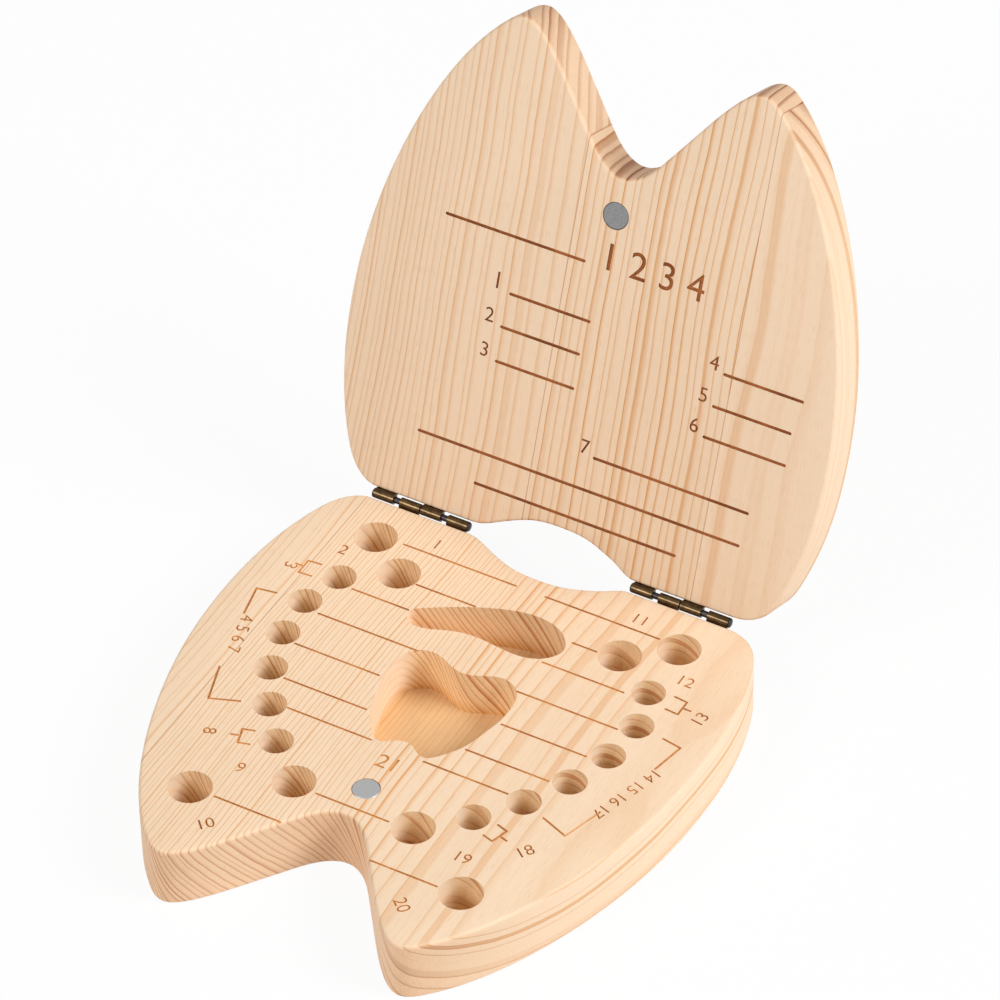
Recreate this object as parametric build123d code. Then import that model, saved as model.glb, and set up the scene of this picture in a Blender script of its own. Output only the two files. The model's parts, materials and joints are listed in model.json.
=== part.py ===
from build123d import *
import os

# A keepsake box for milk teeth: two pine boards in the outline of a molar, joined by two
# small butt hinges on their back edges. Millimetres, +Z up, X along the hinge line, +Y to
# the hinges. The origin is in the middle of the underside of the base.

# Both boards
box_width = 115.0
box_length = 113.6
base_thickness = 14.7
lid_thickness = 10.7
lid_gap = 0.3
edge_round = 0.8
lid_open_angle = 111.0

# Sockets and recesses milled into the base
pocket_depth = 11.0
molar_socket_radius = 4.7
front_socket_radius = 3.7
slot_length = 34.5
slot_width = 14.4
slot_x = -1.65
slot_y = 33.35
hair_width = 28.4
hair_length = 28.3
hair_x = 0.3
hair_y = 6.65

# Engraved lines
base_stroke_width = 0.5
lid_stroke_width = 0.68
engraving_depth = 0.3

# Disc magnets, one flush in each board
magnet_radius = 3.0
magnet_thickness = 3.0
magnet_edge = 0.2
magnet_clearance = 0.05
magnet_y = -21.0

# Butt hinges
left_hinge_share = -0.565
right_hinge_share = 0.534
knuckle_length = 4.9
knuckle_gap = 1.6
knuckle_seam = 0.3
sheet_thickness = 0.35
pin_radius = 0.7
running_clearance = 0.05
barrel_stand_off = 0.1
leaf_reach = 8.8
leaf_corner = 1.0
knuckle_notch = 0.35
pin_head_length = 0.4
pin_head_gap = 0.1
seat_margin = 0.4

# Countersunk wood screws
screw_head_radius = 1.55
screw_shank_radius = 0.8
screw_length = 5.4
screw_tip_length = 1.4
screw_hole_clearance = 0.05
screw_inset = 4.6
cross_arm = 0.9
cross_width = 0.3
cross_depth = 0.2

overrun = 1.0

# Derived sizes
half_width = box_width / 2
half_length = box_length / 2
back_y = half_length
left_hinge_x = left_hinge_share * half_width
right_hinge_x = right_hinge_share * half_width
barrel_radius = pin_radius + running_clearance + sheet_thickness
bore_radius = pin_radius + running_clearance
hinge_length = 4 * knuckle_length + 2 * knuckle_gap + knuckle_seam
axis_y = back_y + barrel_stand_off + barrel_radius
axis_z = base_thickness + lid_gap / 2
lid_bottom = base_thickness + lid_gap
pocket_floor = base_thickness - pocket_depth
screw_height = (barrel_radius + knuckle_notch + leaf_reach) / 2
hinge_axis = Axis((0, axis_y, axis_z), (-1, 0, 0))

# The outline, as shares of half the width and half the length: the side from the hinge seat
# to the root tip, the inner side of the root up to the fork, and the dip in the crown
side_shares = [(0.863, 0.951), (0.923, 0.838), (0.974, 0.641), (1.0, 0.326), (0.976, -0.005),
               (0.906, -0.317), (0.784, -0.636), (0.677, -0.822), (0.570, -0.951), (0.485, -1.0)]
fork_shares = [(0.485, -1.0), (0.423, -0.972), (0.377, -0.928), (0.275, -0.799),
               (0.160, -0.641), (0.077, -0.549), (0.0, -0.519)]
crown_shares = [(0.235, 0.957), (0.205, 0.943), (0.110, 0.908), (0.0, 0.898)]

# Tooth sockets of one half, in pairs left and right: the last flag is true for a molar
socket_shares = [(0.640, 0.809, True), (0.465, 0.676, True), (0.649, 0.553, False),
                 (0.695, 0.380, False), (0.679, 0.194, False), (0.623, 0.011, False),
                 (0.528, -0.158, False), (0.408, -0.312, False), (0.246, -0.462, True),
                 (0.557, -0.665, True)]

# The long curved recess, as shares of half its length and half its width
slot_shares = [(-1.0, -0.66), (-0.88, -0.99), (-0.69, -0.98), (-0.39, -0.72), (-0.08, -0.59),
               (0.27, -0.66), (0.62, -0.68), (0.88, -0.40), (1.0, 0.12), (0.88, 0.65),
               (0.59, 0.99), (0.24, 0.98), (-0.19, 0.65), (-0.60, 0.16), (-0.91, -0.30)]

# One half of the tooth-shaped recess, from its crown dip round to its root fork
hair_shares = [(0.0, 0.816), (0.225, 0.873), (0.458, 0.978), (0.627, 1.0), (0.817, 0.929),
                (0.958, 0.746), (1.0, 0.484), (0.986, 0.201), (0.908, -0.152),
                (0.796, -0.526), (0.648, -0.766), (0.507, -0.935), (0.394, -1.0),
                (0.268, -0.965), (0.113, -0.866), (0.0, -0.838)]

# Engraved rows of the base: height, then where each stroke starts and ends
base_line_shares = [(0.824, -0.527, -0.052), (0.824, 0.073, 0.548), (0.654, -0.377, -0.130),
                    (0.654, 0.280, 0.379), (0.520, -0.574, -0.336), (0.511, 0.233, 0.569),
                    (0.345, -0.616, -0.198), (0.331, 0.228, 0.640), (0.164, -0.610, -0.256),
                    (0.153, 0.263, 0.609), (-0.014, -0.550, -0.207), (-0.023, 0.214, 0.553),
                    (-0.143, -0.477, -0.111), (-0.150, 0.111, 0.457), (-0.477, -0.144, 0.153),
                    (-0.664, -0.456, -0.174), (-0.677, 0.179, 0.466)]

# Ruled lines of the lid, in the same form
lid_line_shares = [(-0.160, -0.666, -0.092), (0.063, -0.358, -0.030), (0.201, -0.372, -0.049),
                   (0.340, -0.369, -0.047), (0.083, 0.534, 0.850), (0.218, 0.513, 0.826),
                   (0.346, 0.499, 0.828), (0.578, 0.087, 0.722), (0.714, -0.631, 0.710),
                   (0.841, -0.369, 0.470)]

# Brackets of the right half of the base, each a run of corner points
bracket_shares = [[(0.744, 0.581), (0.796, 0.576), (0.796, 0.504), (0.744, 0.508)],
                  [(0.799, 0.541), (0.828, 0.541)],
                  [(0.810, 0.367), (0.887, 0.354), (0.859, 0.216)],
                  [(0.790, -0.074), (0.739, -0.238), (0.629, -0.196)],
                  [(0.504, -0.304), (0.547, -0.317), (0.526, -0.386), (0.484, -0.374)],
                  [(0.538, -0.351), (0.570, -0.360)]]


def spread(shares, across, along, x=0.0, y=0.0, side=1):
    """Turn shares of two half sizes into points about (x, y), mirrored where side is -1."""
    return [(x + side * sx * across, y + sy * along) for sx, sy in shares]


def smooth(points, start, end):
    """Smooth curve through the points that leaves and arrives along two unit vectors."""
    return Spline(*points, tangents=[start, end], tangent_scalars=[1, 1])


def board_outline():
    """Closed outline of both boards, flat where each hinge is seated."""
    edges = []
    for side, hinge_x in ((1, right_hinge_x), (-1, left_hinge_x)):
        seat_half = hinge_length / 2 + seat_margin
        outer = (hinge_x + side * seat_half, back_y)
        inner = (hinge_x - side * seat_half, back_y)
        flank = [outer] + spread(side_shares, half_width, half_length, side=side)
        fork = spread(fork_shares, half_width, half_length, side=side)
        crown = [inner] + spread(crown_shares, half_width, half_length, side=side)
        inward = (-side, 0)
        edges.append(Line(inner, outer))
        edges.append(smooth(flank, (side, 0), inward))
        edges.append(smooth(fork, inward, inward))
        edges.append(smooth(crown, inward, inward))
    return make_face(edges)


def board(thickness, bottom):
    """Sawn board with both rims sanded round."""
    blank = extrude(board_outline(), amount=thickness)
    rims = blank.faces().sort_by(Axis.Z)[0].edges() + blank.faces().sort_by(Axis.Z)[-1].edges()
    return Pos(0, 0, bottom) * fillet(rims, edge_round)


def pocket(face):
    """Cutter from the pocket floor up through the top of the base."""
    return Pos(0, 0, pocket_floor) * extrude(face, amount=pocket_depth + overrun)


def socket_cutters():
    """The twenty round sockets, mirrored about the centre line."""
    cutters = []
    for share_x, share_y, is_molar in socket_shares:
        radius = molar_socket_radius if is_molar else front_socket_radius
        for side in (1, -1):
            centre = Pos(side * share_x * half_width, share_y * half_length)
            cutters.append(pocket(centre * Circle(radius)))
    return cutters


def slot_cutter():
    """The long curved recess."""
    points = spread(slot_shares, slot_length / 2, slot_width / 2, slot_x, slot_y)
    return pocket(make_face(Spline(*points, periodic=True)))


def hair_recess_cutter():
    """The tooth-shaped hair recess, symmetric about its own centre line."""
    edges = []
    for side in (1, -1):
        points = spread(hair_shares, hair_width / 2, hair_length / 2, hair_x, hair_y, side)
        edges.append(smooth(points, (side, 0), (-side, 0)))
    return pocket(make_face(edges))


def stroke(start, end, surface_z, width):
    """One engraved groove with round ends, cut down from a board's face."""
    start, end = Vector(*start), Vector(*end)
    run = end - start
    middle = (start + end) / 2
    length = run.length + width
    turn = Vector(1, 0).get_signed_angle(run, Vector(0, 0, 1))
    groove = SlotOverall(length, width)
    cutter = extrude(groove, amount=engraving_depth + overrun)
    return Pos(middle.X, middle.Y, surface_z - engraving_depth) * Rot(0, 0, turn) * cutter


def ruled_strokes(line_shares, surface_z, width):
    """Straight engraved lines across a board."""
    strokes = []
    for share_y, share_from, share_to in line_shares:
        y = share_y * half_length
        start, end = (share_from * half_width, y), (share_to * half_width, y)
        strokes.append(stroke(start, end, surface_z, width))
    return strokes


def bracket_strokes():
    """Engraved brackets beside the front sockets, on both halves of the base."""
    strokes = []
    for side in (1, -1):
        for run_shares in bracket_shares:
            points = spread(run_shares, half_width, half_length, side=side)
            for start, end in zip(points, points[1:]):
                strokes.append(stroke(start, end, base_thickness, base_stroke_width))
    return strokes


def magnet_hole(top_z):
    """Blind hole for a magnet, open at top_z."""
    hole = Cylinder(magnet_radius + magnet_clearance, magnet_thickness + overrun)
    return Pos(0, magnet_y, top_z - (magnet_thickness - overrun) / 2) * hole


def magnet(bottom_z):
    """Disc magnet with broken edges."""
    disc = Cylinder(magnet_radius, magnet_thickness)
    disc = chamfer(disc.edges().filter_by(GeomType.CIRCLE), magnet_edge)
    return Pos(0, magnet_y, bottom_z + magnet_thickness / 2) * disc


def screw_places(hinge_x, height):
    """The two screw axes of one leaf, on the boards' back plane."""
    offset = hinge_length / 2 - screw_inset
    return [Pos(hinge_x + side * offset, back_y, axis_z + height) for side in (-1, 1)]


def facing_back(shape):
    """Turn a shape built along +Z so that its +Z points to +Y."""
    return Rot(-90, 0, 0) * shape


def pilot_hole():
    """Drilled hole for a screw's shank, from the board's back face inwards."""
    depth = screw_length - sheet_thickness + screw_hole_clearance
    hole = Cylinder(screw_shank_radius + screw_hole_clearance, depth + overrun)
    return facing_back(Pos(0, 0, (overrun - depth) / 2) * hole)


def screw():
    """Countersunk screw with a cross recess, its head level with the leaf's outer face."""
    straight = screw_length - sheet_thickness - screw_tip_length
    profile = [(0, sheet_thickness), (screw_head_radius, sheet_thickness),
               (screw_shank_radius, 0), (screw_shank_radius, -straight),
               (0, -straight - screw_tip_length)]
    body = revolve(Plane.XZ * make_face(Polyline(*profile, close=True)), Axis.Z)
    for turn in (0, 90):
        slit = Box(2 * cross_arm, cross_width, 2 * cross_depth)
        body -= Pos(0, 0, sheet_thickness) * Rot(0, 0, turn) * slit
    return facing_back(body)


def countersink():
    """Cone through the leaf that a screw head sits in, a touch wider than the head."""
    lower = screw_shank_radius + screw_hole_clearance
    upper = screw_head_radius + screw_hole_clearance
    cone = Cone(lower, upper, sheet_thickness)
    return facing_back(Pos(0, 0, sheet_thickness / 2) * cone)


def knuckle_starts():
    """Where each of the four knuckles begins along the barrel, from its left end."""
    step = knuckle_length + knuckle_gap
    middle = step + knuckle_length + knuckle_seam
    return [0, step, middle, middle + step]


def leaf(hinge_x, upward, knuckle_numbers):
    """One leaf of a closed hinge: sheet, two rolled knuckles and two screw holes."""
    left = hinge_x - hinge_length / 2
    sheet_near = barrel_radius + knuckle_notch
    sheet_height = leaf_reach - sheet_near
    sheet = Box(hinge_length, sheet_thickness, sheet_height)
    sheet_y = back_y + sheet_thickness / 2
    sheet_z = axis_z + upward * (sheet_near + sheet_height / 2)
    corners = sheet.edges().filter_by(Axis.Y).sort_by(Axis.Z, reverse=upward > 0)[:2]
    body = Pos(hinge_x, sheet_y, sheet_z) * fillet(corners, leaf_corner)
    for number in knuckle_numbers:
        middle_x = left + knuckle_starts()[number] + knuckle_length / 2
        neck = Box(knuckle_length, sheet_thickness, sheet_near)
        body += Pos(middle_x, sheet_y, axis_z + upward * sheet_near / 2) * neck
        roll = Rot(0, 90, 0) * Cylinder(barrel_radius, knuckle_length)
        body += Pos(middle_x, axis_y, axis_z) * roll
    bore = Rot(0, 90, 0) * Cylinder(bore_radius, hinge_length + overrun)
    body -= Pos(hinge_x, axis_y, axis_z) * bore
    for place in screw_places(hinge_x, upward * screw_height):
        body -= place * countersink()
    return body


def hinge_pin(hinge_x):
    """Pin through all four knuckles, with a domed head at each end."""
    shank_length = hinge_length + 2 * pin_head_gap
    head_radius = barrel_radius - running_clearance
    end = shank_length / 2
    dome = smooth([(end + pin_head_length, 0), (end, head_radius)], (0, 1), (-1, 0))
    half = [dome, Polyline((end, head_radius), (end, pin_radius), (0, pin_radius), (0, 0),
                           (end + pin_head_length, 0))]
    half_pin = revolve(make_face(half), Axis.X)
    return Pos(hinge_x, axis_y, axis_z) * (half_pin + mirror(half_pin, Plane.YZ))


def base_board():
    """Base with its sockets, recesses, magnet hole, engraving and pilot holes."""
    cutters = socket_cutters() + [slot_cutter(), hair_recess_cutter(), magnet_hole(base_thickness)]
    cutters += ruled_strokes(base_line_shares, base_thickness, base_stroke_width)
    cutters += bracket_strokes()
    for hinge_x in (left_hinge_x, right_hinge_x):
        cutters += [place * pilot_hole() for place in screw_places(hinge_x, -screw_height)]
    return board(base_thickness, 0) - cutters


def closed_lid_board():
    """Lid as it lies on the closed box, its ruled inner face down."""
    turn_over = Pos(0, 0, lid_bottom) * Rot(0, 180, 0)
    mirrored = [(y, -x_from, -x_to) for y, x_from, x_to in lid_line_shares]
    ruling = ruled_strokes(mirrored, 0, lid_stroke_width)
    cutters = [turn_over * cutter for cutter in ruling]
    cutters.append(turn_over * magnet_hole(0))
    for hinge_x in (left_hinge_x, right_hinge_x):
        cutters += [place * pilot_hole() for place in screw_places(hinge_x, screw_height)]
    return board(lid_thickness, lid_bottom) - cutters


def opened(shape):
    """Swing a piece of the closed lid up about the hinge axis."""
    return shape.rotate(hinge_axis, lid_open_angle)


nodes = {"base_board": base_board(),
         "lid_board": opened(closed_lid_board()),
         "base_magnet": magnet(base_thickness - magnet_thickness),
         "lid_magnet": opened(magnet(lid_bottom))}
for side_name, hinge_x in (("left", left_hinge_x), ("right", right_hinge_x)):
    nodes[f"{side_name}_hinge_base_leaf"] = leaf(hinge_x, -1, (1, 3))
    nodes[f"{side_name}_hinge_lid_leaf"] = opened(leaf(hinge_x, 1, (0, 2)))
    nodes[f"{side_name}_hinge_pin"] = hinge_pin(hinge_x)
    for number, place in enumerate(screw_places(hinge_x, -screw_height), start=1):
        nodes[f"{side_name}_base_screw_{number}"] = place * screw()
    for number, place in enumerate(screw_places(hinge_x, screw_height), start=1):
        nodes[f"{side_name}_lid_screw_{number}"] = opened(place * screw())

os.makedirs("parts", exist_ok=True)
for name, shape in nodes.items():
    export_step(shape, f"parts/{name}.step")
    print(name, round(shape.volume, 1))
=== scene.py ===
import json
from math import radians

import bpy
from mathutils import Matrix, Vector


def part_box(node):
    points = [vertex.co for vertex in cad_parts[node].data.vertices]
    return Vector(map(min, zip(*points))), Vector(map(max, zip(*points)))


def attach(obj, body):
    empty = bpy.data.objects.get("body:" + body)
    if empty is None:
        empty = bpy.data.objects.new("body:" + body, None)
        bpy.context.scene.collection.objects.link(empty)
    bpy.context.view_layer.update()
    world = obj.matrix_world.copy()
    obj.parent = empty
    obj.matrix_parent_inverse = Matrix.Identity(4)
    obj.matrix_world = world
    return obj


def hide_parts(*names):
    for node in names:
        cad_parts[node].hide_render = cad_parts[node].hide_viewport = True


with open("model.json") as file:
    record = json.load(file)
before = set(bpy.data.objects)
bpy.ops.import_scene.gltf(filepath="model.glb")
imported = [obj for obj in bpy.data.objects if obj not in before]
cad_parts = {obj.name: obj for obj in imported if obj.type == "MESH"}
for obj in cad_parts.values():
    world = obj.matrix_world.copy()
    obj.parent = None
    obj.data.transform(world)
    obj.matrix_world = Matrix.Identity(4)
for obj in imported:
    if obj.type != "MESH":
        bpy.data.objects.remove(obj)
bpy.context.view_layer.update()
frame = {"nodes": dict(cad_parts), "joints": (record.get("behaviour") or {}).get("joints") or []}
nodes = frame["nodes"]

# Base board. Light pine about 15 mm thick, glued up from two staves whose grain runs from the
# root tips to the hinges, sawn to the outline of a molar and sanded. Sockets and recesses are
# milled from above, and the ruled lines and numbers are burnt in.

base_top = round(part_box("base_board")[1].z, 6)
pocket_depth = 0.011
pocket_floor = base_top - pocket_depth
groove_depth = 0.0003
same_height = 0.000004
same_point = 0.000001
smooth_below = radians(35)


def only_select(*objects):
    """Select these objects alone, the last one active."""
    bpy.ops.object.select_all(action="DESELECT")
    for chosen in objects:
        chosen.select_set(True)
        bpy.context.view_layer.objects.active = chosen


def merge_doubles(piece):
    """Join the points of a mesh that lie on each other."""
    only_select(piece)
    bpy.ops.object.mode_set(mode="EDIT")
    bpy.ops.mesh.select_all(action="SELECT")
    bpy.ops.mesh.remove_doubles(threshold=same_point)
    bpy.ops.object.mode_set(mode="OBJECT")


def joined_up_copy(node_name, piece_name):
    """A copy of a sawn board whose loose triangles are joined into one skin."""
    piece = bpy.data.objects.new(piece_name, nodes[node_name].data.copy())
    bpy.context.scene.collection.objects.link(piece)
    only_select(piece)
    bpy.ops.mesh.customdata_custom_splitnormals_clear()
    merge_doubles(piece)
    return piece


def dress(mesh, *finishes):
    """Give a mesh these finishes and no others."""
    mesh.materials.clear()
    for finish in finishes:
        mesh.materials.append(finish)


def srgb(red, green, blue):
    """A paint chart colour of 0 to 255 as the shader's linear colour."""
    linear = []
    for value in (red / 255, green / 255, blue / 255):
        linear.append(value / 12.92 if value <= 0.04045 else ((value + 0.055) / 1.055) ** 2.4)
    return (*linear, 1.0)


def grey(value):
    """A neutral linear colour."""
    return (value, value, value, 1.0)


def node(tree, kind, inputs=None, **settings):
    """Add a shader node, set its properties and link or fill its inputs."""
    made = tree.nodes.new(kind)
    for key, value in settings.items():
        setattr(made, key, value)
    for key, value in (inputs or {}).items():
        if isinstance(value, bpy.types.NodeSocket):
            tree.links.new(value, made.inputs[key])
        else:
            made.inputs[key].default_value = value
    return made


def reckon(tree, operation, first, second=0.0, third=0.0):
    """One sum on numbers or sockets."""
    sums = {0: first, 1: second, 2: third}
    return node(tree, "ShaderNodeMath", sums, operation=operation).outputs[0]


def carried(tree, value, low, high, to_low=0.0, to_high=1.0, how="LINEAR"):
    """A value carried from one range to another, and held at its ends."""
    ranges = {0: value, 1: low, 2: high, 3: to_low, 4: to_high}
    return node(tree, "ShaderNodeMapRange", ranges, interpolation_type=how).outputs[0]


def ramp(tree, factor, stops):
    """A colour ramp through (place, colour) stops."""
    made = node(tree, "ShaderNodeValToRGB", {0: factor})
    elements = made.color_ramp.elements
    while len(elements) < len(stops):
        elements.new(1.0)
    for element, (place, colour) in zip(elements, stops):
        element.position = place
        element.color = colour
    return made.outputs[0]


def blend_colours(tree, factor, first, second, how="MIX"):
    """Mix two colours by a factor."""
    made = node(tree, "ShaderNodeMix", data_type="RGBA", blend_type=how)
    factor_input, first_input, second_input = made.inputs[0], made.inputs[6], made.inputs[7]
    for socket, value in ((factor_input, factor), (first_input, first), (second_input, second)):
        if isinstance(value, bpy.types.NodeSocket):
            tree.links.new(value, socket)
        else:
            socket.default_value = value
    return made.outputs[2]


def new_material(name):
    """An empty material and its node tree, with a shader wired to the output."""
    made = bpy.data.materials.new(name)
    made.use_nodes = True
    tree = made.node_tree
    tree.nodes.clear()
    shader = tree.nodes.new("ShaderNodeBsdfPrincipled")
    output = tree.nodes.new("ShaderNodeOutputMaterial")
    tree.links.new(shader.outputs[0], output.inputs[0])
    return made, tree, shader


def millimetres(tree, turn=0.0, shift=(0.0, 0.0, 0.0)):
    """The place on the piece in millimetres, turned about X and shifted."""
    coordinates = node(tree, "ShaderNodeTexCoord")
    laid = {"Vector": coordinates.outputs["Object"], "Rotation": (turn, 0.0, 0.0),
            "Scale": (1000.0, 1000.0, 1000.0), "Location": shift}
    return node(tree, "ShaderNodeMapping", laid).outputs[0]


def facing_way(tree, turn):
    """The way the surface faces, turned about X as its place is."""
    coordinates = node(tree, "ShaderNodeTexCoord")
    laid = {"Vector": coordinates.outputs["Normal"], "Rotation": (turn, 0.0, 0.0)}
    return node(tree, "ShaderNodeMapping", laid, vector_type="VECTOR").outputs[0]


def stretched_noise(tree, place, scales, detail=2.0, roughness=0.5):
    """Noise whose grains are stretched by different scales along X, Y and Z."""
    scaled = node(tree, "ShaderNodeVectorMath", {0: place, 1: scales}, operation="MULTIPLY")
    grains = {"Vector": scaled.outputs[0], "Scale": 1.0, "Detail": detail, "Roughness": roughness}
    return node(tree, "ShaderNodeTexNoise", grains).outputs[0]


def by_stave(tree, beyond, values):
    """A value that steps at each glue line: the first stave's, the second's and so on."""
    total = values[0]
    for over, before, after in zip(beyond, values, values[1:]):
        total = reckon(tree, "MULTIPLY_ADD", over, after - before, total)
    return total


def growth_rings(tree, split, seeded, staves, beyond):
    """Rings round each stave's pith: the place seen from the pith, and the rings counted out to it."""
    wander = 4.0
    ripple = 0.8
    easing = 22.0
    uneven_years = 1.1
    pith_x = by_stave(tree, beyond, [stave["pith"][0] for stave in staves])
    pith_z = by_stave(tree, beyond, [stave["pith"][1] for stave in staves])
    across = reckon(tree, "SUBTRACT", split.outputs[0], pith_x)
    upward = reckon(tree, "SUBTRACT", split.outputs[2], pith_z)
    square = reckon(tree, "ADD", reckon(tree, "MULTIPLY", across, across),
                    reckon(tree, "MULTIPLY", upward, upward))
    straight = reckon(tree, "SQRT", square)

    # the trunk was never quite round or straight, so the rings wander slowly along the plank
    slow = stretched_noise(tree, seeded, (0.020, 0.014, 0.020), 1.0)
    fine = stretched_noise(tree, seeded, (0.10, 0.045, 0.10), 2.0)
    radius = reckon(tree, "MULTIPLY_ADD", slow, wander, reckon(tree, "SUBTRACT", straight, wander / 2))
    radius = reckon(tree, "MULTIPLY_ADD", fine, ripple, reckon(tree, "SUBTRACT", radius, ripple / 2))

    # each stave has its own pace, which quickens further out, and no two years are alike
    pace = by_stave(tree, beyond, [stave["rings_a_mm"] for stave in staves])
    first = by_stave(tree, beyond, [stave["first_ring"] for stave in staves])
    quicker = by_stave(tree, beyond, [stave["extra_rings"] for stave in staves])
    quicker_from = by_stave(tree, beyond, [stave["extra_from"] for stave in staves])
    outer = reckon(tree, "SMOOTH_MAX", reckon(tree, "SUBTRACT", radius, quicker_from), 0.0, easing)
    count = reckon(tree, "MULTIPLY_ADD", radius, pace, first)
    count = reckon(tree, "MULTIPLY_ADD", outer, quicker, count)
    years = {"W": reckon(tree, "MULTIPLY", radius, 0.09), "Detail": 1.0}
    uneven = node(tree, "ShaderNodeTexNoise", years, noise_dimensions="1D").outputs[0]
    count = reckon(tree, "MULTIPLY_ADD", uneven, uneven_years, count)
    return across, upward, straight, radius, count


def summer_wood(tree, count, along_ring, end_grain, softness, breadth):
    """How much of the dark summer wood shows, 0 to 1.

    A ring cut square is a thin dark line, one cut along its skin a soft band, and one cut end on
    a broad one.
    """
    phase = reckon(tree, "FRACT", count)
    crisp = ramp(tree, phase, [(0.0, grey(0.25)), (0.04, grey(0.0)), (0.68, grey(0.01)),
                               (0.86, grey(0.24)), (0.93, grey(0.80)), (0.97, grey(1.0))])
    soft = ramp(tree, phase, [(0.0, grey(0.30)), (0.08, grey(0.02)), (0.50, grey(0.0)),
                              (0.72, grey(0.34)), (0.88, grey(0.60)), (0.96, grey(0.62))])
    broad = ramp(tree, phase, [(0.0, grey(0.55)), (0.06, grey(0.02)), (0.48, grey(0.0)),
                               (0.70, grey(0.40)), (0.86, grey(0.95)), (0.97, grey(1.0))])
    blurred = carried(tree, along_ring, 0.40, 0.85, softness, 1.0)
    faded = carried(tree, along_ring, 0.60, 1.0, 1.0, 0.55)
    lengthways = reckon(tree, "MULTIPLY", blend_colours(tree, blurred, crisp, soft), faded)
    end_on = blend_colours(tree, breadth, crisp, broad)
    shown = blend_colours(tree, end_grain, lengthways, end_on)
    number = {"W": reckon(tree, "FLOOR", count)}
    year = node(tree, "ShaderNodeTexWhiteNoise", number, noise_dimensions="1D").outputs[0]
    return reckon(tree, "MULTIPLY", shown, reckon(tree, "MULTIPLY_ADD", year, 0.65, 0.58))


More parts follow.
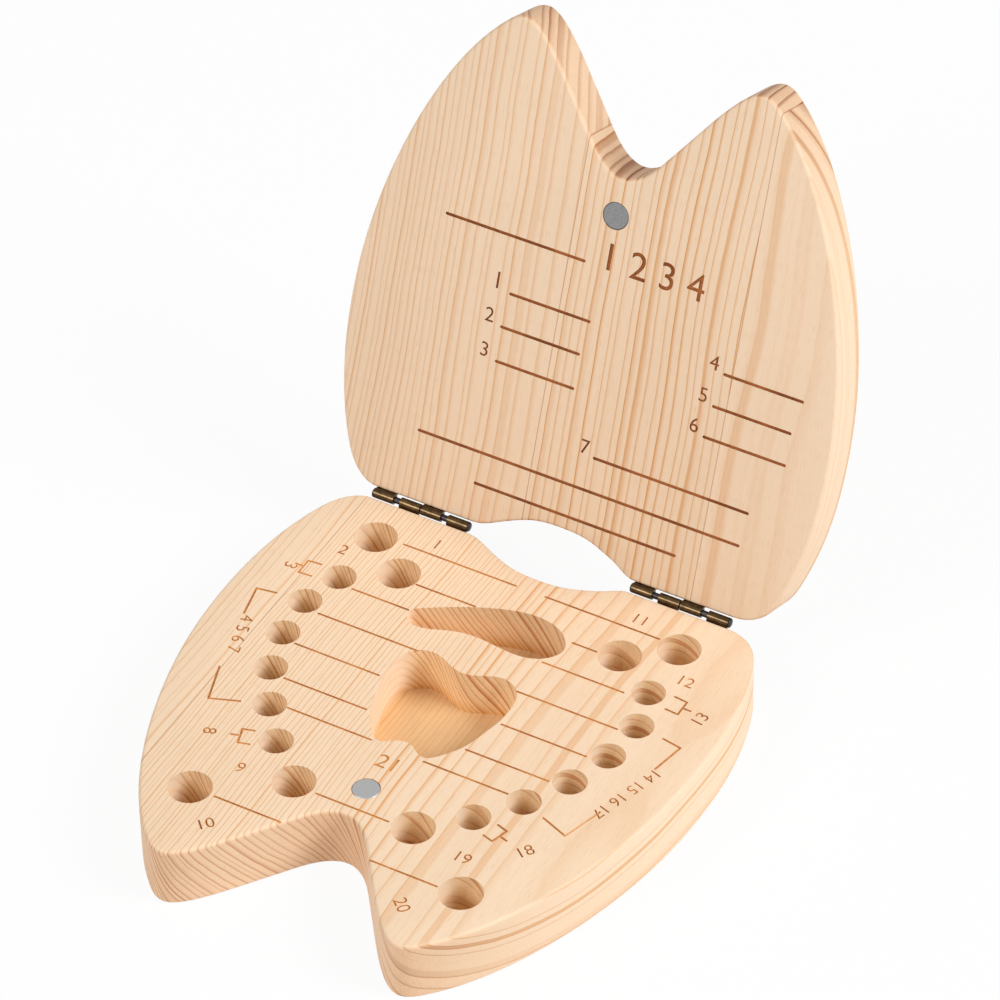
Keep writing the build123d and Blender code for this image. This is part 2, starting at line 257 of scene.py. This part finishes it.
def pine(name, laid, staves, early, late, end_early, end_late, seed, softness, breadth, painted_shade_floor=None):
    """Solid pine: growth rings round piths that run along the plank, so each cut shows them.

    laid turns the board's own place into plank millimetres: a turn about X and a shift. staves
    are glued side by side from left to right. early and late colour spring and summer wood cut
    lengthways, and end_early and end_late the same wood cut across. softness and breadth, 0 to
    1, blur the rings where cut square and widen them on end grain. painted_shade_floor is the
    height of the pockets' floors: towards it the wood is painted darker and more saturated, as
    painted shade deep in the pockets.
    """
    made, tree, shader = new_material(name)
    turn, shift = laid
    place = millimetres(tree, turn, shift)
    facing = node(tree, "ShaderNodeSeparateXYZ", {0: facing_way(tree, turn)})
    split = node(tree, "ShaderNodeSeparateXYZ", {0: place})
    glue_lines = [stave["left"] for stave in staves[1:]]
    beyond = [reckon(tree, "GREATER_THAN", split.outputs[0], line) for line in glue_lines]
    from_glue = 1000.0
    for line in glue_lines:
        off = reckon(tree, "ABSOLUTE", reckon(tree, "SUBTRACT", split.outputs[0], line))
        from_glue = reckon(tree, "MINIMUM", off, from_glue)

    # each board and each stave is cut from its own stretch of the noise
    stave_step = 40.0
    moved = node(tree, "ShaderNodeVectorMath", {0: place, 1: (seed, 3 * seed, 7 * seed)}, operation="ADD")
    stave_shift = by_stave(tree, beyond, [stave_step * number for number in range(len(staves))])
    seeded = node(tree, "ShaderNodeVectorMath", {0: moved.outputs[0], 1: stave_shift},
                  operation="ADD").outputs[0]

    across, upward, straight, radius, count = growth_rings(tree, split, seeded, staves, beyond)
    end_grain = carried(tree, reckon(tree, "ABSOLUTE", facing.outputs[1]), 0.25, 0.95, how="SMOOTHSTEP")
    outward = reckon(tree, "ADD", reckon(tree, "MULTIPLY", facing.outputs[0], across),
                     reckon(tree, "MULTIPLY", facing.outputs[2], upward))
    along_ring = reckon(tree, "ABSOLUTE", reckon(tree, "DIVIDE", outward, straight))
    late_wood = summer_wood(tree, count, along_ring, end_grain, softness, breadth)
    strength = by_stave(tree, beyond, [stave["strength"] for stave in staves])
    paler_near_pith = carried(tree, radius, 28.0, 60.0, 0.6, 1.0)
    late_wood = reckon(tree, "MULTIPLY", late_wood, reckon(tree, "MULTIPLY", paler_near_pith, strength))
    colour = blend_colours(tree, end_grain, blend_colours(tree, late_wood, early, late),
                           blend_colours(tree, late_wood, end_early, end_late))

    # fibres, a slow change of tone, pores, torn end grain, the glue lines and painted shade near the
    # pockets' floors
    fibres = stretched_noise(tree, seeded, (5.0, 0.10, 5.0), 3.0, 0.6)
    fibre_tone = ramp(tree, fibres, [(0.25, grey(0.90)), (0.5, grey(0.985)), (0.72, grey(1.0))])
    colour = blend_colours(tree, 0.40, colour, fibre_tone, "MULTIPLY")
    tone = stretched_noise(tree, seeded, (0.035, 0.010, 0.035), 2.0)
    slow_tone = ramp(tree, tone, [(0.3, (0.95, 0.92, 0.89, 1.0)), (0.55, grey(1.0))])
    colour = blend_colours(tree, 0.5, colour, slow_tone, "MULTIPLY")
    pores = stretched_noise(tree, seeded, (9.0, 0.30, 9.0), 1.0)
    pore_tone = ramp(tree, pores, [(0.30, (0.88, 0.80, 0.72, 1.0)), (0.40, grey(1.0))])
    colour = blend_colours(tree, 0.7, colour, pore_tone, "MULTIPLY")
    torn = stretched_noise(tree, seeded, (2.6, 0.9, 2.6), 3.0, 0.7)
    torn_tone = ramp(tree, torn, [(0.34, (0.84, 0.74, 0.64, 1.0)), (0.50, grey(0.98)),
                                  (0.70, grey(1.0))])
    colour = blend_colours(tree, reckon(tree, "MULTIPLY", end_grain, 0.6), colour, torn_tone, "MULTIPLY")
    seam = carried(tree, from_glue, 0.05, 0.16, 0.6, 0.0)
    colour = blend_colours(tree, seam, colour, srgb(190, 140, 96), "MULTIPLY")
    # painted shade: the wood darkened and made more saturated over the last 3 mm above the pockets' floors
    if painted_shade_floor is not None:
        painted_shade_depth = carried(tree, split.outputs[2], painted_shade_floor + 3.0, painted_shade_floor)
        colour = blend_colours(tree, painted_shade_depth, colour, srgb(241, 222, 191), "MULTIPLY")

    height = reckon(tree, "MULTIPLY_ADD", late_wood, 0.35, reckon(tree, "MULTIPLY", fibres, 0.65))
    height = reckon(tree, "MULTIPLY_ADD", reckon(tree, "MULTIPLY", torn, end_grain), 1.2, height)
    relief = {"Strength": 0.25, "Distance": 0.00006, "Height": height}
    bump = node(tree, "ShaderNodeBump", relief)
    tree.links.new(colour, shader.inputs["Base Color"])
    tree.links.new(bump.outputs[0], shader.inputs["Normal"])
    tree.links.new(reckon(tree, "MULTIPLY_ADD", fibres, 0.16, 0.50), shader.inputs["Roughness"])
    shader.inputs["Specular IOR Level"].default_value = 0.35
    return made


def scorched(name, light, dark):
    """The floor and walls of a burnt line, uneven as the fibres char."""
    made, tree, shader = new_material(name)
    place = millimetres(tree)
    char = stretched_noise(tree, place, (1.6, 1.1, 1.6), 3.0, 0.6)
    hotter = stretched_noise(tree, place, (0.11, 0.11, 0.11), 1.0)
    heat = reckon(tree, "MULTIPLY_ADD", hotter, 0.6, reckon(tree, "MULTIPLY", char, 0.4))
    tree.links.new(ramp(tree, heat, [(0.36, dark), (0.62, light)]), shader.inputs["Base Color"])
    bump = node(tree, "ShaderNodeBump", {"Strength": 0.4, "Distance": 0.00005, "Height": char})
    tree.links.new(bump.outputs[0], shader.inputs["Normal"])
    shader.inputs["Roughness"].default_value = 0.85
    shader.inputs["Specular IOR Level"].default_value = 0.2
    return made


def number_cutters(rows, finish):
    """Solid numerals, one cutter for all: rows of text, height and the place of their middle."""
    height_of_size = 0.73
    made = []
    for text, height, place in rows:
        bpy.ops.object.text_add()
        writing = bpy.context.object
        writing.data.body = text
        writing.data.size = height / height_of_size
        writing.data.align_x = "CENTER"
        writing.data.align_y = "CENTER"
        writing.data.extrude = groove_depth
        writing.data.resolution_u = 5
        bpy.ops.object.convert(target="MESH")
        writing.data.transform(place)
        made.append(writing)
    only_select(*made)
    bpy.ops.object.join()
    cutter = bpy.context.object
    merge_doubles(cutter)
    dress(cutter.data, finish)
    return cutter


def engrave(piece, cutter):
    """Cut the numerals out of a board's face."""
    only_select(piece)
    bpy.ops.object.modifier_add(type="BOOLEAN")
    cut = piece.modifiers[-1]
    cut.object = cutter
    cut.operation = "DIFFERENCE"
    cut.solver = "EXACT"
    cut.material_mode = "TRANSFER"
    bpy.ops.object.modifier_apply(modifier=cut.name)
    bpy.data.objects.remove(cutter)


def scorch_grooves(piece, finish_index, depth_of):
    """Give the ruled lines their burnt finish: faces that lie wholly in the groove's depth."""
    for face in piece.data.polygons:
        depths = [depth_of(piece.data.vertices[v].co) for v in face.vertices]
        floor = [abs(depth - groove_depth) < same_height for depth in depths]
        top = [abs(depth) < same_height for depth in depths]
        if any(floor) and all(f or t for f, t in zip(floor, top)):
            face.material_index = finish_index


def paint_pocket_light(mesh, finish_index):
    """Give the pockets' floors and the walls that rise from them the pine painted for them: paler as painted
    light, darker near the floors as painted shade.
    """
    points = mesh.vertices
    pocket_points = {point.index for point in points if abs(point.co.z - pocket_floor) < same_height}
    deep_walls = [face for face in mesh.polygons if abs(face.normal.z) < 0.5
                  and min(points[v].co.z for v in face.vertices) < base_top - 2 * groove_depth]
    spreading = True
    while spreading:
        reached = len(pocket_points)
        for wall in deep_walls:
            if any(v in pocket_points for v in wall.vertices):
                pocket_points.update(wall.vertices)
        spreading = len(pocket_points) > reached
    for face in mesh.polygons:
        wall_or_floor = face.normal.z < 0.5 or abs(face.center.z - pocket_floor) < same_height
        if wall_or_floor and all(v in pocket_points for v in face.vertices):
            face.material_index = finish_index


base_staves = [
    dict(left=-100.0, pith=(-120.0, 40.0), rings_a_mm=0.62, extra_rings=0.0, extra_from=300.0,
         first_ring=0.2, strength=0.6),
    dict(left=-45.0, pith=(51.0, 40.0), rings_a_mm=0.22, extra_rings=0.80, extra_from=54.0,
         first_ring=-0.32, strength=1.0)]
base_laid = (0.0, (0.0, 0.0, 0.0))
base_pine = pine("base_pine", base_laid, base_staves,
                 early=srgb(248, 221, 190), late=srgb(226, 156, 80),
                 end_early=srgb(240, 199, 160), end_late=srgb(164, 98, 56),
                 seed=11.0, softness=0.0, breadth=0.25)
# painted light and shade: the same pine in paler colours for the pockets' walls and floors, as light falling
# in them, and darkened near the floors as painted shade
pocket_painted_light_pine = pine("base_pocket_painted_light_pine", base_laid, base_staves,
                   early=srgb(255, 234, 208), late=srgb(242, 200, 150),
                   end_early=srgb(255, 224, 179), end_late=srgb(204, 126, 64),
                   seed=11.0, softness=0.0, breadth=0.4, painted_shade_floor=1000 * pocket_floor)
base_scorch = scorched("base_scorched_line", light=srgb(234, 176, 110), dark=srgb(198, 134, 74))

base_piece = joined_up_copy("base_board", "engraved_base_board")
base_finishes = [base_pine, base_scorch, pocket_painted_light_pine]
dress(base_piece.data, *base_finishes)
# the pockets take the pine with painted light and shade
paint_pocket_light(base_piece.data, base_finishes.index(pocket_painted_light_pine))

figure = 0.0030
narrow_figure = 0.0028
recess_figure = 0.0040


def on_base(x, y, degrees=0):
    """Where a number's middle sits on the base, in millimetres, and its turn."""
    place = Matrix.Translation((x / 1000, y / 1000, base_top))
    return place @ Matrix.Rotation(radians(degrees), 4, "Z")


base_numbers = [("1", figure, on_base(-24.1, 50.0)), ("2", figure, on_base(-40.9, 39.1)),
                ("3", figure, on_base(-48.5, 29.7, -90)), ("4 5 6 7", figure, on_base(-46.9, 6.4, -76)),
                ("8", figure, on_base(-37.3, -21.7, -72)), ("9", figure, on_base(-25.9, -28.1)),
                ("10", figure, on_base(-23.7, -45.5, 45)),
                ("11", figure, on_base(25.2, 50.0)), ("12", figure, on_base(42.5, 37.9)),
                ("13", figure, on_base(50.6, 29.5, 82)),
                ("14 15 16 17", narrow_figure, on_base(47.6, 3.2, -107)),
                ("18", figure, on_base(37.6, -21.4, 53)), ("19", figure, on_base(27.2, -29.0)),
                ("20", figure, on_base(23.1, -46.4, -42)),
                ("21", recess_figure, on_base(0.3, -12.6))]
engrave(base_piece, number_cutters(base_numbers, base_scorch))
scorch_grooves(base_piece, base_finishes.index(base_scorch), lambda point: base_top - point.z)
only_select(base_piece)
bpy.ops.object.shade_smooth_by_angle(angle=smooth_below)
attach(base_piece, "base")
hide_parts("base_board")

# Lid board. The same outline in thinner pine of three staves, hung from the back of the base
# and here swung open. Its inner face carries ruled lines to write on, burnt darker and redder
# than the base's.

lid_joint = frame["joints"][0]
hinge_line = Vector(lid_joint["pos_m"])
lid_opening = radians(-lid_joint["range_deg"][0])
lid_gap = 0.0003
lid_face = base_top + lid_gap
swing = (Matrix.Translation(hinge_line) @ Matrix.Rotation(-lid_opening, 4, "X")
         @ Matrix.Translation(-hinge_line))
swing_back = swing.inverted()
lid_shift = 1000 * (hinge_line - Matrix.Rotation(lid_opening, 3, "X") @ hinge_line)

lid_staves = [
    dict(left=-100.0, pith=(74.0, 75.0), rings_a_mm=0.38, extra_rings=0.40, extra_from=122.0,
         first_ring=0.3, strength=0.7),
    dict(left=-9.0, pith=(121.0, 29.5), rings_a_mm=0.48, extra_rings=0.0, extra_from=200.0,
         first_ring=0.55, strength=1.0),
    dict(left=32.5, pith=(62.0, -16.0), rings_a_mm=0.10, extra_rings=0.25, extra_from=45.0,
         first_ring=0.78, strength=1.0)]
lid_pine = pine("lid_pine", (lid_opening, tuple(lid_shift)), lid_staves,
                early=srgb(246, 217, 186), late=srgb(217, 147, 68),
                end_early=srgb(234, 195, 158), end_late=srgb(146, 76, 40),
                seed=29.0, softness=0.3, breadth=1.0)
lid_scorch = scorched("lid_scorched_line", light=srgb(190, 118, 66), dark=srgb(148, 84, 44))

lid_piece = joined_up_copy("lid_board", "engraved_lid_board")
lid_finishes = [lid_pine, lid_scorch]
dress(lid_piece.data, *lid_finishes)

heading_figure = 0.0064
first_figure = 0.0040
list_figure = 0.0034


def on_lid(x, y):
    """Where a number's middle sits on the closed lid's underside, swung open with it."""
    face_down = Matrix.Rotation(radians(180), 4, "X")
    return swing @ Matrix.Translation((x / 1000, y / 1000, lid_face)) @ face_down


lid_numbers = [("1 2 3 4", heading_figure, on_lid(10.6, -11.5)),
               ("1", first_figure, on_lid(-24.0, 1.7)), ("2", list_figure, on_lid(-24.6, 9.8)),
               ("3", list_figure, on_lid(-24.4, 17.7)), ("4", list_figure, on_lid(28.0, 3.1)),
               ("5", list_figure, on_lid(26.8, 10.8)), ("6", list_figure, on_lid(26.0, 18.0)),
               ("7", list_figure, on_lid(2.4, 31.2))]
engrave(lid_piece, number_cutters(lid_numbers, lid_scorch))
scorch_grooves(lid_piece, lid_finishes.index(lid_scorch),
               lambda point: (swing_back @ point).z - lid_face)
only_select(lid_piece)
bpy.ops.object.shade_smooth_by_angle(angle=smooth_below)
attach(lid_piece, "lid")
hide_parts("lid_board")

# Magnets. Two nickel-plated discs pressed flush into drilled holes, one in each board, that
# hold the box shut.


def metal(name, scales, colours, detail=3.0, roughness=0.6, gloss=(0.2, 0.25), metallic=0.9):
    """Metal clouded by noise, from its first colour to its last, and rougher where it is lighter."""
    made, tree, shader = new_material(name)
    clouds = stretched_noise(tree, millimetres(tree), scales, detail, roughness)
    tree.links.new(ramp(tree, clouds, colours), shader.inputs["Base Color"])
    tree.links.new(reckon(tree, "MULTIPLY_ADD", clouds, *gloss), shader.inputs["Roughness"])
    shader.inputs["Metallic"].default_value = metallic
    return made


def nickel_plate(name, dark, light):
    """Tumbled nickel plating, satin and a little cloudy."""
    return metal(name, (3.0, 3.0, 3.0), [(0.3, dark), (0.7, light)], detail=4.0, roughness=0.65,
                 gloss=(0.2, 0.38), metallic=0.6)


# one nickel plating in two copies: the base magnet's painted lighter as painted light, the lid magnet's
# darker as painted shade
nickel_painted_lit = nickel_plate("nickel_painted_lit", srgb(158, 160, 161), srgb(184, 186, 187))
nickel_painted_shade = nickel_plate("nickel_painted_shade", srgb(120, 121, 122), srgb(146, 147, 148))
dress(nodes["base_magnet"].data, nickel_painted_lit)
dress(nodes["lid_magnet"].data, nickel_painted_shade)

# Hinges. Two small butt hinges of pressed brass sheet, rolled round a steel pin and darkened
# to an antique bronze that has rubbed bright on the raised parts.

bronze, bronze_tree, bronze_shader = new_material("antique_bronze")
bronze_place = millimetres(bronze_tree)
patina = stretched_noise(bronze_tree, bronze_place, (0.7, 1.0, 1.0), 3.0, 0.5)
rolling = stretched_noise(bronze_tree, bronze_place, (0.3, 6.0, 6.0), 2.0, 0.5)
rubbed = ramp(bronze_tree, patina, [(0.30, srgb(68, 53, 35)), (0.52, srgb(86, 68, 45)),
                                    (0.72, srgb(104, 84, 56))])
rolling_marks = ramp(bronze_tree, rolling, [(0.3, grey(0.8)), (0.7, grey(1.0))])
bronze_tree.links.new(blend_colours(bronze_tree, 0.4, rubbed, rolling_marks, "MULTIPLY"),
                      bronze_shader.inputs["Base Color"])
bronze_tree.links.new(reckon(bronze_tree, "MULTIPLY_ADD", patina, 0.10, 0.10),
                      bronze_shader.inputs["Roughness"])
bronze_shader.inputs["Metallic"].default_value = 0.9

# the pin is dark steel, painted darker still as the shade in the gaps between the knuckles
pin_steel_painted_shade = metal("pin_steel_with_painted_shade", (0.6, 5.0, 5.0), [(0.3, srgb(36, 33, 36)), (0.7, srgb(66, 61, 64))],
                  metallic=0.7)
for side in ("left", "right"):
    dress(nodes[f"{side}_hinge_base_leaf"].data, bronze)
    dress(nodes[f"{side}_hinge_lid_leaf"].data, bronze)
    dress(nodes[f"{side}_hinge_pin"].data, pin_steel_painted_shade)

# Screws. Two small countersunk brass screws hold each leaf to the back of its board.

screw_brass = metal("screw_brass", (4.0, 4.0, 4.0), [(0.3, srgb(150, 112, 58)), (0.7, srgb(196, 156, 92))],
                    metallic=0.95)
for side in ("left", "right"):
    for board in ("base", "lid"):
        for number in (1, 2):
            dress(nodes[f"{side}_{board}_screw_{number}"].data, screw_brass)

# Studio. The box stands on a white table in a white room, lit softly from the right and a
# little from the front left.

table_size = 8.0
table_below_box = 0.0001
bpy.ops.object.select_all(action="DESELECT")
bpy.ops.mesh.primitive_plane_add(size=table_size, location=(0.0, 0.0, -table_below_box))
table = bpy.context.object
table.name = "studio_table"
table_white = bpy.data.materials.new("table_white")
table_white.use_nodes = True
table_tree = table_white.node_tree
table_tree.nodes.clear()
table_path = node(table_tree, "ShaderNodeLightPath").outputs
table_seen = reckon(table_tree, "MAXIMUM", table_path["Is Camera Ray"], table_path["Is Glossy Ray"])
shadow_kept = 0.07
paint = node(table_tree, "ShaderNodeBsdfDiffuse", {"Color": grey(0.9)})
glow = node(table_tree, "ShaderNodeEmission", {"Color": grey(1.0), "Strength": 1.0})
glow_share = reckon(table_tree, "MULTIPLY", table_seen, 1.0 - shadow_kept)
table_mix = node(table_tree, "ShaderNodeMixShader", {0: glow_share, 1: paint.outputs[0], 2: glow.outputs[0]})
node(table_tree, "ShaderNodeOutputMaterial", {0: table_mix.outputs[0]})
dress(table.data, table_white)

room_fill = 0.27
world = bpy.data.worlds.new("white_room")
bpy.context.scene.world = world
world.use_nodes = True
room = world.node_tree
room.nodes.clear()
room_path = node(room, "ShaderNodeLightPath").outputs
room_seen = reckon(room, "MAXIMUM", room_path["Is Glossy Ray"], room_path["Is Transmission Ray"])
room_seen = reckon(room, "MAXIMUM", room_path["Is Camera Ray"], room_seen)
fill = node(room, "ShaderNodeBackground", {"Color": grey(1.0), "Strength": room_fill})
backdrop = node(room, "ShaderNodeBackground", {"Color": grey(1.0), "Strength": 1.0})
room_mix = node(room, "ShaderNodeMixShader", {0: room_seen, 1: fill.outputs[0], 2: backdrop.outputs[0]})
node(room, "ShaderNodeOutputWorld", {0: room_mix.outputs[0]})

box_middle = Vector((0.0, 0.0, 0.03))


def soft_light(name, place, size, power):
    """A square lamp that faces the middle of the box."""
    bpy.ops.object.light_add(type="AREA", location=place)
    lamp = bpy.context.object
    lamp.name = name
    lamp.data.size = size
    lamp.data.energy = power
    aim = box_middle - Vector(place)
    lamp.rotation_euler = aim.to_track_quat("-Z", "Y").to_euler()


soft_light("side_light", place=(1.74, 0.31, 1.51), size=1.1, power=39.7)
soft_light("high_light", place=(-0.74, -1.39, 1.26), size=0.9, power=17.4)

# Camera, where the photographer stood: a long lens a little over a metre away.

camera_place = (0.51931, -0.84459, 0.97340)
camera_right = Vector((0.86991318, 0.49283127, -0.0191937))
camera_up = Vector((-0.31825218, 0.59063708, 0.74152774))
camera_back = Vector((0.37678457, -0.63895632, 0.67064761))
camera_turn = Matrix((camera_right, camera_up, camera_back)).transposed()
bpy.ops.object.camera_add(location=camera_place, rotation=camera_turn.to_euler())
camera = bpy.context.object
camera.data.lens = 239.63
camera.data.sensor_width = 36.0
camera.data.clip_start = 0.05
camera.data.clip_end = 20.0
bpy.context.scene.camera = camera
bpy.context.scene.view_settings.view_transform = "Standard"
